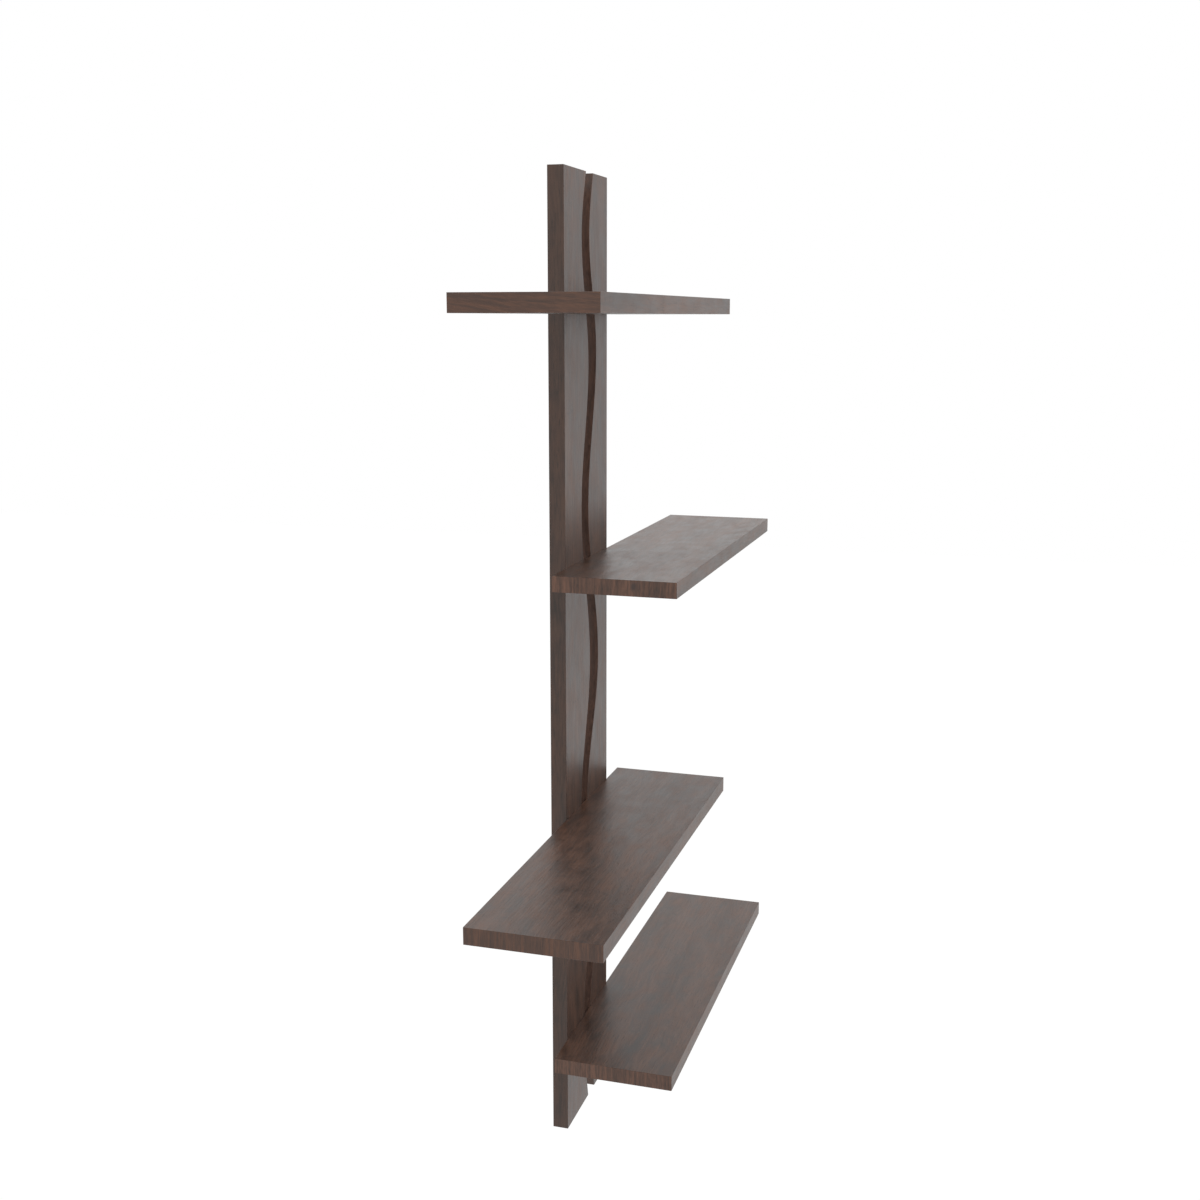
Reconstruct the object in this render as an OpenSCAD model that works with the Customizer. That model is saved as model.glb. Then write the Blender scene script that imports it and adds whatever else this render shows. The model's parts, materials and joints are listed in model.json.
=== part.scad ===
// Wall shelf: two upright planks cut apart along a wavy slot, with four equal shelves on their front
// faces, set left and right in turn. X runs right along the wall, the wall is the plane Y = 0, the shelf
// stands out towards -Y, and Z is up. The origin lies on the wall, midway between the upper keyholes.

/* [Planks] */
// Height of the two planks
plank_h = 1603; // [1500:1:1750]
// Width over both planks, from outer edge to outer edge
pair_w = 228.6; // [210:0.1:280]
// Thickness of the planks
plank_t = 26.7; // [24:0.1:32]

/* [Shelves] */
// Length of each shelf
shelf_l = 747; // [600:1:900]
// Depth of each shelf in front of the planks
shelf_d = 200; // [150:1:250]
// Thickness of each shelf
shelf_t = 25.4; // [24:0.1:32]
// From the planks' tops down to the top of shelf 1
shelf_1_drop = 197.5; // [180:0.5:220]
// From the planks' tops down to the top of shelf 2
shelf_2_drop = 622.5; // [580:0.5:660]
// From the planks' feet up to the top of shelf 3
shelf_3_rise = 560; // [520:0.5:600]
// From the planks' feet up to the top of shelf 4
shelf_4_rise = 167; // [160:0.5:200]
// How far shelf 1 runs past the right plank
shelf_1_overhang = 55.5; // [0:0.5:120]
// How far shelf 2 runs past the left plank
shelf_2_overhang = 67; // [0:0.5:120]
// How far shelf 3 runs past the right plank
shelf_3_overhang = 69; // [0:0.5:120]
// How far shelf 4 runs past the left plank
shelf_4_overhang = 68.5; // [0:0.5:120]
// Chamfer on the straight edges of every board
arris = 1; // [0.4:0.1:3]

/* [Connector bolts] */
// Thread diameter
bolt_d = 6; // [5:0.5:8]
// Length under the head
bolt_l = 60; // [50:1:70]
// Head diameter
bolt_head_d = 15; // [12:0.5:17]
// Head thickness
bolt_head_t = 2.5; // [2:0.1:4]
// Hexagon socket, across its flats
bolt_socket = 4; // [3:0.5:4]
// Depth of the hexagon socket
bolt_socket_depth = 4; // [2:0.1:5]
// From a plank's outer edge to its bolts
bolt_inset = 25; // [20:0.5:32]

/* [Barrel nuts] */
// Diameter
nut_d = 10; // [9:0.5:14]
// Length
nut_l = 18; // [16:0.5:20]
// From the nut's inner end to its threaded hole
nut_hole_drop = 8; // [6:0.5:9]
// Width of the screwdriver slot in its outer end
nut_slot_w = 1.4; // [0.8:0.1:2]
// Depth of that slot
nut_slot_depth = 1.2; // [0.8:0.1:2]

/* [Dowels] */
// Diameter
dowel_d = 8; // [6:0.5:10]
// Length
dowel_l = 35; // [30:1:40]
// How deep a dowel sits in its plank
dowel_in_plank = 13; // [10:0.5:16]
// From a bolt to the dowel beside it
dowel_spacing = 26; // [20:0.5:30]

/* [Keyhole hangers] */
// Width of a hanger plate
hanger_w = 18; // [16:0.5:20]
// Thickness of a hanger plate
hanger_t = 1.6; // [1.2:0.1:2.5]
// From a plank's outer edge to its keyholes
hanger_inset = 38.1; // [30:0.1:45]
// From the planks' tops to the upper keyholes
upper_keyhole_drop = 103; // [80:1:120]
// From the planks' feet to the lower keyholes
lower_keyhole_rise = 75; // [60:1:90]
// Diameter of a keyhole's round entry
keyhole_entry_d = 9.5; // [8:0.5:11]
// Width of a keyhole's slot
keyhole_slot_w = 5; // [4:0.1:6]
// From the entry's centre up to the slot's upper end
keyhole_rise = 10; // [8:0.5:12]
// Depth of the pocket behind a keyhole
pocket_depth = 8; // [5:0.5:10]

/* [Hanger screws] */
// Shank diameter
screw_d = 3.5; // [3:0.1:4]
// Head diameter
screw_head_d = 7; // [6:0.1:7.5]
// Overall length
screw_l = 16; // [12:0.5:18]
// Wood or metal left between a keyhole and a screw's head
screw_spacing = 2.8; // [2:0.1:4]

/* [Fits] */
// Gap round a bolt in its holes
bolt_gap = 0.5; // [0.2:0.1:1]
// Gap round a bolt head in its recess
head_gap = 1; // [0.3:0.1:2]
// How far a bolt head lies below the plank's back
head_sink = 0.5; // [0.2:0.1:1.5]
// Gap round a bolt in its nut's thread
thread_gap = 0.05; // [0.02:0.01:0.1]
// Gap round a barrel nut or a dowel
wood_gap = 0.1; // [0.05:0.05:0.3]
// Gap round a hanger plate in its recess
plate_gap = 0.25; // [0.1:0.05:0.5]
// Room past the tip of a bolt, a dowel or a screw
tip_room = 1.5; // [0.5:0.1:3]
// Room round a wall screw's head in a keyhole's pocket
pocket_gap = 1; // [0.5:0.1:1.5]

/* [Hidden] */
$fn = 48;
wave_steps = 96;
left = -1;
right = 1;
overrun = 1;
wood_colour = [0.27, 0.19, 0.15];
beech_colour = [0.80, 0.64, 0.44];
zinc_colour = [0.72, 0.73, 0.75];
black_colour = [0.12, 0.12, 0.13];

// The slot's two edges, from below the feet to above the tops. Each row is a turning point of the wave,
// as a share of the planks' height and a share of the pair's width from its left side.
left_edge_shares = [[-0.053, 0.560], [0.088, 0.400], [0.209, 0.534], [0.347, 0.356], [0.502, 0.571],
                    [0.664, 0.374], [0.813, 0.544], [0.936, 0.393], [1.058, 0.583]];
right_edge_shares = [[-0.053, 0.730], [0.081, 0.540], [0.209, 0.720], [0.342, 0.493], [0.501, 0.774],
                     [0.662, 0.535], [0.825, 0.728], [0.938, 0.567], [1.058, 0.738]];

shelf_tops = [plank_h - shelf_1_drop, plank_h - shelf_2_drop, shelf_3_rise, shelf_4_rise];
shelf_lefts = [pair_w + shelf_1_overhang - shelf_l, -shelf_2_overhang,
               pair_w + shelf_3_overhang - shelf_l, -shelf_4_overhang];

upper_keyhole_z = plank_h - upper_keyhole_drop;
lower_keyhole_z = lower_keyhole_rise;

bolt_recess = bolt_head_t + head_sink;
bolt_tip = bolt_recess + bolt_l;
tip_chamfer = bolt_d / 6;
nut_setback = bolt_tip - nut_d / 2 - tip_chamfer;
dowel_chamfer = dowel_d / 8;

screw_offset = screw_spacing + screw_head_d / 2;
lower_screw_z = -keyhole_entry_d / 2 - screw_offset;
upper_screw_z = keyhole_rise + keyhole_slot_w / 2 + screw_offset;
screw_cone = (screw_head_d - screw_d) / 2;

// Where things are

// Moves what is drawn from the left plank's lower outer back corner to the part's own origin
module in_place() translate([-pair_w / 2, 0, -upper_keyhole_z]) children();

// The place that lies this far in from the outer edge of the plank on one side
function inset_x(side, inset) = side == left ? inset : pair_w - inset;

// Height of the bolts and dowels of shelf n, at the middle of its edge
function joint_z(n) = shelf_tops[n - 1] - shelf_t / 2;

// Points what is drawn along Z from the wall towards the front
module from_wall() rotate([90, 0, 0]) children();

// Wave

// The stretch between turning points that holds this share of the height
function stretch(shares, h, i = 0) =
    i >= len(shares) - 2 || h < shares[i + 1][0] ? i : stretch(shares, h, i + 1);

// Half a cosine wave leads from each turning point to the next
function wave(shares, h) =
    let (i = stretch(shares, h), a = shares[i], b = shares[i + 1], along = (h - a[0]) / (b[0] - a[0]))
    a[1] + (b[1] - a[1]) * (1 - cos(180 * along)) / 2;

function edge_points(shares) =
    [for (k = [0:wave_steps]) [pair_w * wave(shares, k / wave_steps), plank_h * k / wave_steps]];

// Boards

module chamfered_rectangle(w, h)
    polygon([[arris, 0], [w - arris, 0], [w, arris], [w, h - arris],
             [w - arris, h], [arris, h], [0, h - arris], [0, arris]]);

// A board with its back on the wall and chamfered straight edges
module board(length, thickness, height) intersection() {
    from_wall() linear_extrude(thickness) chamfered_rectangle(length, height);
    translate([0, -thickness, 0]) linear_extrude(height) chamfered_rectangle(length, thickness);
    rotate([90, 0, 90]) linear_extrude(length) translate([-thickness, 0]) chamfered_rectangle(thickness, height);
}

module left_of_wave()
    polygon(concat([[0, 0]], edge_points(left_edge_shares), [[0, plank_h]]));

module right_of_wave()
    polygon(concat([[pair_w, plank_h], [pair_w, 0]], edge_points(right_edge_shares)));

// The plank on one side: its share of a wide board, less the holes for its shelves and hangers
module plank(side) color(wood_colour) in_place() difference() {
    intersection() {
        board(pair_w, plank_t, plank_h);
        from_wall() linear_extrude(plank_t) if (side == left) left_of_wave(); else right_of_wave();
    }
    for (n = [1:4]) translate([0, 0, joint_z(n)]) {
        translate([inset_x(side, bolt_inset), 0, 0]) bolt_bore();
        translate([inset_x(side, bolt_inset + dowel_spacing), -plank_t + dowel_in_plank, 0])
            dowel_bore(dowel_in_plank + overrun);
    }
    for (z = [upper_keyhole_z, lower_keyhole_z])
        translate([inset_x(side, hanger_inset), 0, z]) hanger_recess();
}

module shelf(n) color(wood_colour) in_place() difference() {
    translate([shelf_lefts[n - 1], -plank_t, shelf_tops[n - 1] - shelf_t]) board(shelf_l, shelf_d, shelf_t);
    for (side = [left, right]) translate([0, 0, joint_z(n)]) {
        translate([inset_x(side, bolt_inset), 0, 0]) bolt_bore();
        translate([inset_x(side, bolt_inset), -nut_setback, 0]) nut_bore();
        translate([inset_x(side, bolt_inset + dowel_spacing), -plank_t + overrun, 0])
            dowel_bore(dowel_l - dowel_in_plank + tip_room + overrun);
    }
}

// Connector bolts

// The hole of a bolt through plank and shelf, with the recess of its head at the wall
module bolt_bore() from_wall() {
    cylinder(h = bolt_tip + tip_room, d = bolt_d + 2 * bolt_gap);
    translate([0, 0, -overrun]) cylinder(h = bolt_recess + overrun, d = bolt_head_d + 2 * head_gap);
}

module bolt() from_wall() difference() {
    rotate_extrude() polygon([[0, head_sink], [bolt_head_d / 2 - bolt_head_t / 3, head_sink],
                              [bolt_head_d / 2, head_sink + bolt_head_t / 3], [bolt_head_d / 2, bolt_recess],
                              [bolt_d / 2, bolt_recess], [bolt_d / 2, bolt_tip - tip_chamfer],
                              [bolt_d / 2 - tip_chamfer, bolt_tip], [0, bolt_tip]]);
    translate([0, 0, head_sink - overrun])
        cylinder(h = bolt_socket_depth + overrun, d = bolt_socket / cos(30), $fn = 6);
}

module bolts(n) color(black_colour) in_place()
    for (side = [left, right]) translate([inset_x(side, bolt_inset), 0, joint_z(n)]) bolt();

// Barrel nuts

// The blind hole of a barrel nut, up from the shelf's underside
module nut_bore() translate([0, 0, nut_hole_drop - nut_l - shelf_t])
    cylinder(h = nut_l + shelf_t, d = nut_d + 2 * wood_gap);

module barrel_nut() difference() {
    translate([0, 0, nut_hole_drop - nut_l]) cylinder(h = nut_l, d = nut_d);
    translate([0, nut_d, 0]) from_wall() cylinder(h = 2 * nut_d, d = bolt_d + 2 * thread_gap);
    translate([-nut_d, -nut_slot_w / 2, nut_hole_drop - nut_l - overrun])
        cube([2 * nut_d, nut_slot_w, nut_slot_depth + overrun]);
}

module barrel_nuts(n) color(zinc_colour) in_place()
    for (side = [left, right]) translate([inset_x(side, bolt_inset), -nut_setback, joint_z(n)]) barrel_nut();

// Dowels

module dowel_bore(depth) from_wall() cylinder(h = depth, d = dowel_d + 2 * wood_gap);

module dowel() from_wall() rotate_extrude()
    polygon([[0, 0], [dowel_d / 2 - dowel_chamfer, 0], [dowel_d / 2, dowel_chamfer],
             [dowel_d / 2, dowel_l - dowel_chamfer], [dowel_d / 2 - dowel_chamfer, dowel_l], [0, dowel_l]]);

module dowels(n) color(beech_colour) in_place()
    for (side = [left, right])
        translate([inset_x(side, bolt_inset + dowel_spacing), -plank_t + dowel_in_plank, joint_z(n)]) dowel();

// Keyhole hangers

// A plate with round ends, as wide as w, with its end centres at these heights
module round_ended(w, low, high, thickness) union() {
    translate([0, 0, low]) from_wall() cylinder(h = thickness, d = w);
    translate([0, 0, high]) from_wall() cylinder(h = thickness, d = w);
    translate([-w / 2, -thickness, low]) cube([w, thickness, high - low]);
}

// The shallow recess that a plate fills and the pocket behind its keyhole for the wall screw's head
module hanger_recess() {
    translate([0, overrun, 0])
        round_ended(hanger_w + 2 * plate_gap, lower_screw_z, upper_screw_z, hanger_t + overrun);
    round_ended(keyhole_entry_d + 2 * pocket_gap, 0, keyhole_rise, hanger_t + pocket_depth);
    for (z = [lower_screw_z, upper_screw_z]) translate([0, 0, z]) screw_bore(wood_gap, screw_l + tip_room);
}

module hanger(side, height) color(zinc_colour) in_place()
    translate([inset_x(side, hanger_inset), 0, height]) difference() {
        round_ended(hanger_w, lower_screw_z, upper_screw_z, hanger_t);
        translate([0, overrun, 0]) round_ended(keyhole_slot_w, 0, keyhole_rise, hanger_t + 2 * overrun);
        translate([0, overrun, 0]) from_wall() cylinder(h = hanger_t + 2 * overrun, d = keyhole_entry_d);
        for (z = [lower_screw_z, upper_screw_z]) translate([0, 0, z]) screw_bore(0, hanger_t + overrun);
    }

// A countersunk hole with this gap round its screw
module screw_bore(gap, depth) from_wall() {
    cylinder(h = screw_cone, d1 = screw_head_d + 2 * gap, d2 = screw_d + 2 * gap);
    cylinder(h = depth, d = screw_d + 2 * gap);
}

// A countersunk wood screw with a cross recess, its head flush with the wall
module hanger_screw() from_wall() difference() {
    rotate_extrude() polygon([[0, 0], [screw_head_d / 2, 0], [screw_d / 2, screw_cone],
                              [screw_d / 2, screw_l - screw_d], [0, screw_l]]);
    for (turn = [0, 90]) rotate(turn)
        translate([-screw_head_d / 4, -screw_d / 8, -overrun])
            cube([screw_head_d / 2, screw_d / 4, screw_cone / 2 + overrun]);
}

module hanger_screws(side, height) color(zinc_colour) in_place()
    for (z = [lower_screw_z, upper_screw_z])
        translate([inset_x(side, hanger_inset), 0, height + z]) hanger_screw();

plank(left);  // left_plank
plank(right);  // right_plank
shelf(1);  // shelf_1
shelf(2);  // shelf_2
shelf(3);  // shelf_3
shelf(4);  // shelf_4
bolts(1);  // bolts_1
bolts(2);  // bolts_2
bolts(3);  // bolts_3
bolts(4);  // bolts_4
barrel_nuts(1);  // barrel_nuts_1
barrel_nuts(2);  // barrel_nuts_2
barrel_nuts(3);  // barrel_nuts_3
barrel_nuts(4);  // barrel_nuts_4
dowels(1);  // dowels_1
dowels(2);  // dowels_2
dowels(3);  // dowels_3
dowels(4);  // dowels_4
hanger(left, upper_keyhole_z);  // hanger_upper_left
hanger(right, upper_keyhole_z);  // hanger_upper_right
hanger(left, lower_keyhole_z);  // hanger_lower_left
hanger(right, lower_keyhole_z);  // hanger_lower_right
hanger_screws(left, upper_keyhole_z);  // hanger_screws_upper_left
hanger_screws(right, upper_keyhole_z);  // hanger_screws_upper_right
hanger_screws(left, lower_keyhole_z);  // hanger_screws_lower_left
hanger_screws(right, lower_keyhole_z);  // hanger_screws_lower_right
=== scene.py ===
"""Looks of a wall shelf: walnut planks parted by a wavy slot, four walnut shelves and their fastenings.

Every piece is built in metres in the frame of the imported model: X runs right along the wall, the wall is
the plane Y = 0, the shelf stands out towards -Y, and Z is up. Places and overall sizes come from the
frame's own boxes, so each piece lies where its solid lies.
"""

import json
import logging
from collections.abc import Callable, Iterable
from dataclasses import dataclass, field, replace
from enum import Enum
from math import cos, pi, radians

import bmesh
import bpy
import numpy as np
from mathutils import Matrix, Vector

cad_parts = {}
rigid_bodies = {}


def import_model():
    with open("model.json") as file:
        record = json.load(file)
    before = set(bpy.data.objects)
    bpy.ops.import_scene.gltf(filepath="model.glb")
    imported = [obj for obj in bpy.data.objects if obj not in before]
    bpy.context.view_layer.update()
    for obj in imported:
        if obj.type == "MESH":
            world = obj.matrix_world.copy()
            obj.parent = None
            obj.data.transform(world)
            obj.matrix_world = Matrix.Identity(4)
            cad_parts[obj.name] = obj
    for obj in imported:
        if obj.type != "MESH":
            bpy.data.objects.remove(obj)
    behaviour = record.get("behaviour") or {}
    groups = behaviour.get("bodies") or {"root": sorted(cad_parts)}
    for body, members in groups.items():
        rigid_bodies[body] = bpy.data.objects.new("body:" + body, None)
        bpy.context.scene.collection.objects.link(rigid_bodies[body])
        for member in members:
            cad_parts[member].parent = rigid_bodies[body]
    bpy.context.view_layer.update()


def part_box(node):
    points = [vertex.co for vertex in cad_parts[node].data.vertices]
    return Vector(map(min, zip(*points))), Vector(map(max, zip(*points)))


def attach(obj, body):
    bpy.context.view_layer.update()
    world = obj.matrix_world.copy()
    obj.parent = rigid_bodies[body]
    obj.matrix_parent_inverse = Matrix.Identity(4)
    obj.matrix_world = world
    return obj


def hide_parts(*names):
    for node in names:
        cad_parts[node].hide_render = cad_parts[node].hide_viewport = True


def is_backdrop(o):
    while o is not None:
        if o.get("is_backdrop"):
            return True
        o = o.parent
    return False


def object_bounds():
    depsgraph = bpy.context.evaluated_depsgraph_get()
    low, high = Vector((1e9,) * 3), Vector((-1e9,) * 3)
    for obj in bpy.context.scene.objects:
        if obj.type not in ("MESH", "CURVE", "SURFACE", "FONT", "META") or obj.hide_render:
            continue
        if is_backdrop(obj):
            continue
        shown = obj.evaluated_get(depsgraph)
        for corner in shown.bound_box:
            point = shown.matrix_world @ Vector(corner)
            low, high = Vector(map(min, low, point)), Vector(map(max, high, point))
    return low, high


LOG = logging.getLogger("wall_shelf")
Array = np.ndarray
Material, Mesh = bpy.types.Material, bpy.types.Mesh
Node, Socket, Tree = bpy.types.Node, bpy.types.NodeSocket, bpy.types.NodeTree
Pair = tuple[float, float]
Point = tuple[float, float, float]
MM = 0.001
SHELVES = (1, 2, 3, 4)
MERGE_DISTANCE = 1e-7
SHARP_DEGREES = 35.0
EASE_STEPS = 4
THREAD_STEPS = 6

# Sockets of a colour mix, whose colours share their names with its numbers
FACTOR, FIRST, SECOND, MIXED = 0, 6, 7, 2
# Radians that a wave pattern runs through in a unit of its scale
WAVE_RADIANS = 20

# The slot's two edges, as in the solids: turning points as a share of the planks' height and a share of
# the pair's width from its left side.
LEFT_EDGE_SHARES = (
    (-0.053, 0.560), (0.088, 0.400), (0.209, 0.534), (0.347, 0.356), (0.502, 0.571),
    (0.664, 0.374), (0.813, 0.544), (0.936, 0.393), (1.058, 0.583),
)
RIGHT_EDGE_SHARES = (
    (-0.053, 0.730), (0.081, 0.540), (0.209, 0.720), (0.342, 0.493), (0.501, 0.774),
    (0.662, 0.535), (0.825, 0.728), (0.938, 0.567), (1.058, 0.738),
)


class Side(Enum):
    """Which of the two planks a thing belongs to, seen from the front."""

    LEFT = "left"
    RIGHT = "right"


class Level(Enum):
    """Whether a hanger is near the planks' tops or near their feet."""

    UPPER = "upper"
    LOWER = "lower"


class Fastener(Enum):
    """The kinds of fastener between a shelf and the planks, with the names of their nodes."""

    BOLT = "bolts"
    NUT = "barrel_nuts"
    DOWEL = "dowels"


class Grain(Enum):
    """The way a board's grain runs, with the turn that brings it to X."""

    ALONG_SHELF = (0.0, 0.0, 0.0)
    ALONG_PLANK = (0.0, pi / 2, 0.0)


class EndFigure(Enum):
    """How streaks lie on a cut end: the turn that brings them to X, their drift in mm and its scale."""

    UPRIGHT = ((0.0, pi / 2, 0.0), 3.0, 18.0)
    SLANTING = ((radians(-5.0), 0.0, pi / 2), 14.0, 7.0)
    RINGS = ((0.0, 0.0, 0.0), 3.0, 18.0)


# Shader helpers


def linear(hex_colour: str) -> tuple[float, float, float, float]:
    """Turn an sRGB hex colour into the linear values that a shader takes, by the sRGB standard's curve.

    Args:
        hex_colour: a colour such as "#4A3124".

    Returns:
        Linear red, green and blue, and an alpha of 1.
    """
    srgb = np.array([int(hex_colour[i : i + 2], 16) / 255 for i in (1, 3, 5)])
    red, green, blue = np.where(srgb <= 0.04045, srgb / 12.92, ((srgb + 0.055) / 1.055) ** 2.4)
    return (float(red), float(green), float(blue), 1.0)


def feed(node: Node, inputs: dict[str | int, object]) -> None:
    """Give a node its input values and incoming links.

    Args:
        node: the node.
        inputs: an input's name or number, with its value or the output socket that feeds it.
    """
    for name, value in inputs.items():
        if isinstance(value, Socket):
            node.id_data.links.new(value, node.inputs[name])
        else:
            node.inputs[name].default_value = value


def add(tree: Tree, kind: str, inputs: dict[str | int, object] | None = None,
        stops: dict[float, str] | None = None, **settings: object) -> Node:
    """Add one node, with its settings, input values and incoming links.

    Args:
        tree: the node tree to add to.
        kind: the node's type name.
        inputs: inputs as feed takes them.
        stops: a colour ramp's hex colours by their place on it, in rising order.
        settings: the node's own properties.

    Returns:
        The new node.
    """
    node = tree.nodes.new(kind)
    for name, value in settings.items():
        setattr(node, name, value)
    feed(node, inputs or {})
    for number, (position, hex_colour) in enumerate((stops or {}).items()):
        elements = node.color_ramp.elements
        stop = elements[number] if number < len(elements) else elements.new(position)
        stop.position, stop.color = position, linear(hex_colour)
    return node


def blotches(tree: Tree, place: Socket, size_mm: Point, detail: float, low: float = 0.32,
             high: float = 0.68) -> Socket:
    """Noise whose blotches have a real size, spread to run from 0 to 1.

    Args:
        tree: the material's node tree.
        place: coordinates in metres.
        size_mm: size of a blotch along x, y and z, in millimetres.
        detail: how many finer layers the noise has.
        low: noise value that becomes 0.
        high: noise value that becomes 1.

    Returns:
        The socket with the noise.
    """
    per_metre = tuple(1 / (MM * size) for size in size_mm)
    scaled = add(tree, "ShaderNodeVectorMath", {0: place, 1: per_metre}, operation="MULTIPLY")
    noise = add(tree, "ShaderNodeTexNoise", {"Vector": scaled.outputs[0], "Scale": 1.0, "Detail": detail})
    spread = add(tree, "ShaderNodeMapRange", {"Value": noise.outputs[0], "From Min": low, "From Max": high})
    return spread.outputs[0]


def ring_lines(tree: Tree, place: Socket, size_mm: Point, count: float) -> Socket:
    """Lines of equal height in a slow noise, which lie as growth rings do on a sawn board.

    Args:
        tree: the material's node tree.
        place: coordinates in metres.
        size_mm: size of a blotch of the noise along x, y and z, in millimetres.
        count: how many rings lie between the noise's lowest and highest value.

    Returns:
        The socket with the rings, from 0 to 1.
    """
    slow = blotches(tree, place, size_mm, detail=1.0, low=0.0, high=1.0)
    phase = add(tree, "ShaderNodeMath", {0: slow, 1: 2 * pi * count}, operation="MULTIPLY")
    swing = add(tree, "ShaderNodeMath", {0: phase.outputs[0]}, operation="SINE")
    return add(tree, "ShaderNodeMapRange", {"Value": swing.outputs[0], "From Min": -1.0}).outputs[0]


def drifted(tree: Tree, along: Socket, place: Socket, reach_mm: Point, scale: float) -> Socket:
    """Coordinates that a slow noise pushes to and fro, as the grain of wood wanders.

    Args:
        tree: the material's node tree.
        along: coordinates in metres, at which the noise is read.
        place: the coordinates to push.
        reach_mm: how far they are pushed along x, y and z where the noise is 1, in millimetres.
        scale: the noise's scale, in blotches to a metre.

    Returns:
        The socket with the pushed coordinates.
    """
    noise = add(tree, "ShaderNodeTexNoise", {"Vector": along, "Scale": scale, "Detail": 1.0})
    inputs = {0: noise.outputs["Color"], 1: tuple(reach * MM for reach in reach_mm), 2: place}
    return add(tree, "ShaderNodeVectorMath", inputs, operation="MULTIPLY_ADD").outputs[0]


def weighted(tree: Tree, parts: Iterable[tuple[Socket, float]]) -> Socket:
    """Add up several patterns, each times its weight.

    Args:
        tree: the material's node tree.
        parts: pairs of a pattern and its weight.

    Returns:
        The socket with the sum.
    """
    total = 0.0
    for pattern, weight in parts:
        inputs = {0: pattern, 1: weight, 2: total}
        total = add(tree, "ShaderNodeMath", inputs, operation="MULTIPLY_ADD").outputs[0]
    return total


def start_material(name: str) -> tuple[Material, Tree, Node, Socket]:
    """Start a material.

    Args:
        name: the material's name.

    Returns:
        The material, its node tree, its main shader, and the object's coordinates in metres.
    """
    material = bpy.data.materials.new(name)
    material.use_nodes = True
    tree = material.node_tree
    place = add(tree, "ShaderNodeTexCoord").outputs["Object"]
    return material, tree, tree.nodes["Principled BSDF"], place


# Finishes


@dataclass(frozen=True)
class LacqueredWalnut:
    """Stained black walnut, planed, sanded and sprayed with a satin lacquer.

    The stain hides most of the figure, so the eye gets long soft streaks from near black to red brown.
    The lacquer shows bright surroundings as a grey veil wherever the board is seen at a slant.
    """

    darkest: str = "#2B1F19"
    heartwood: str = "#422F26"
    palest: str = "#594135"
    reddish: str = "#63422F"
    # Each pattern's size along the grain and in the two directions across it
    bands_mm: Point = (260.0, 38.0, 38.0)
    rings_mm: Point = (430.0, 60.0, 60.0)
    strands_mm: Point = (60.0, 7.0, 7.0)
    fibres_mm: Point = (46.0, 3.2, 3.2)
    clouds_mm: Point = (42.0, 24.0, 24.0)
    # Walnut's pores are 0.2 mm wide, and are drawn coarser here so that they show.
    pores_mm: Point = (22.0, 1.5, 1.5)
    flecks_mm: Point = (6.0, 26.0, 26.0)
    ring_count: float = 17.0
    # How much each pattern counts: bands, rings, strands, fibres, clouds and flecks
    weights: tuple[float, ...] = (0.24, 0.13, 0.15, 0.26, 0.22, -0.35)
    # How far the grain and the flecks wander, and how many times in a metre
    drift_mm: Point = (20.0, 16.0, 16.0)
    drift_scale: float = 7.0
    fleck_drift_mm: Point = (24.0, 0.0, 0.0)
    fleck_drift_scale: float = 50.0
    relief_mm: float = 0.6
    roughness: Pair = (0.34, 0.46)

    def material(self, name: str, grain: Grain) -> Material:
        """Dress the long faces of a board.

        Args:
            name: the material's name.
            grain: the way the grain runs.

        Returns:
            The finished material.
        """
        material, tree, shader, raw = start_material(name)
        along = add(tree, "ShaderNodeMapping", {"Vector": raw, "Rotation": grain.value}).outputs[0]
        # Growth rings wander by a few millimetres over a hand's length.
        place = drifted(tree, along, along, self.drift_mm, self.drift_scale)
        bands = blotches(tree, place, self.bands_mm, detail=2.0)
        rings = ring_lines(tree, place, self.rings_mm, self.ring_count)
        strands = blotches(tree, place, self.strands_mm, detail=1.0)
        fibres = blotches(tree, place, self.fibres_mm, detail=2.0)
        clouds = blotches(tree, place, self.clouds_mm, detail=3.0)
        pores = blotches(tree, place, self.pores_mm, detail=1.0, low=0.2, high=0.42)
        # Where the fibres dip and rise, a few short, bent, dark flecks lie across the grain.
        bent = drifted(tree, along, place, self.fleck_drift_mm, self.fleck_drift_scale)
        flecks = blotches(tree, bent, self.flecks_mm, detail=1.0, low=0.63, high=0.83)
        tone = weighted(tree, zip((bands, rings, strands, fibres, clouds, flecks), self.weights))
        stops = {0.21: self.darkest, 0.49: self.heartwood, 0.77: self.palest}
        figure = add(tree, "ShaderNodeValToRGB", {"Fac": tone}, stops).outputs[0]
        flush = weighted(tree, [(clouds, 0.28), (bands, 0.17)])
        inputs = {FACTOR: flush, FIRST: figure, SECOND: linear(self.reddish)}
        warmed = add(tree, "ShaderNodeMix", inputs, data_type="RGBA").outputs[MIXED]
        inputs = {FACTOR: pores, FIRST: linear(self.darkest), SECOND: warmed}
        pored = add(tree, "ShaderNodeMix", inputs, data_type="RGBA").outputs[MIXED]
        gloss = weighted(tree, [(clouds, 0.6), (fibres, 0.4)])
        low, high = self.roughness
        rough = add(tree, "ShaderNodeMapRange", {"Value": gloss, "To Min": low, "To Max": high})
        relief = weighted(tree, [(pores, 0.4), (fibres, 0.3), (strands, 0.3)])
        inputs = {"Height": relief, "Strength": 0.38, "Distance": self.relief_mm * MM}
        bump = add(tree, "ShaderNodeBump", inputs).outputs[0]
        feed(shader, {"Base Color": pored, "Roughness": rough.outputs[0], "Normal": bump})
        return material


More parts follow.
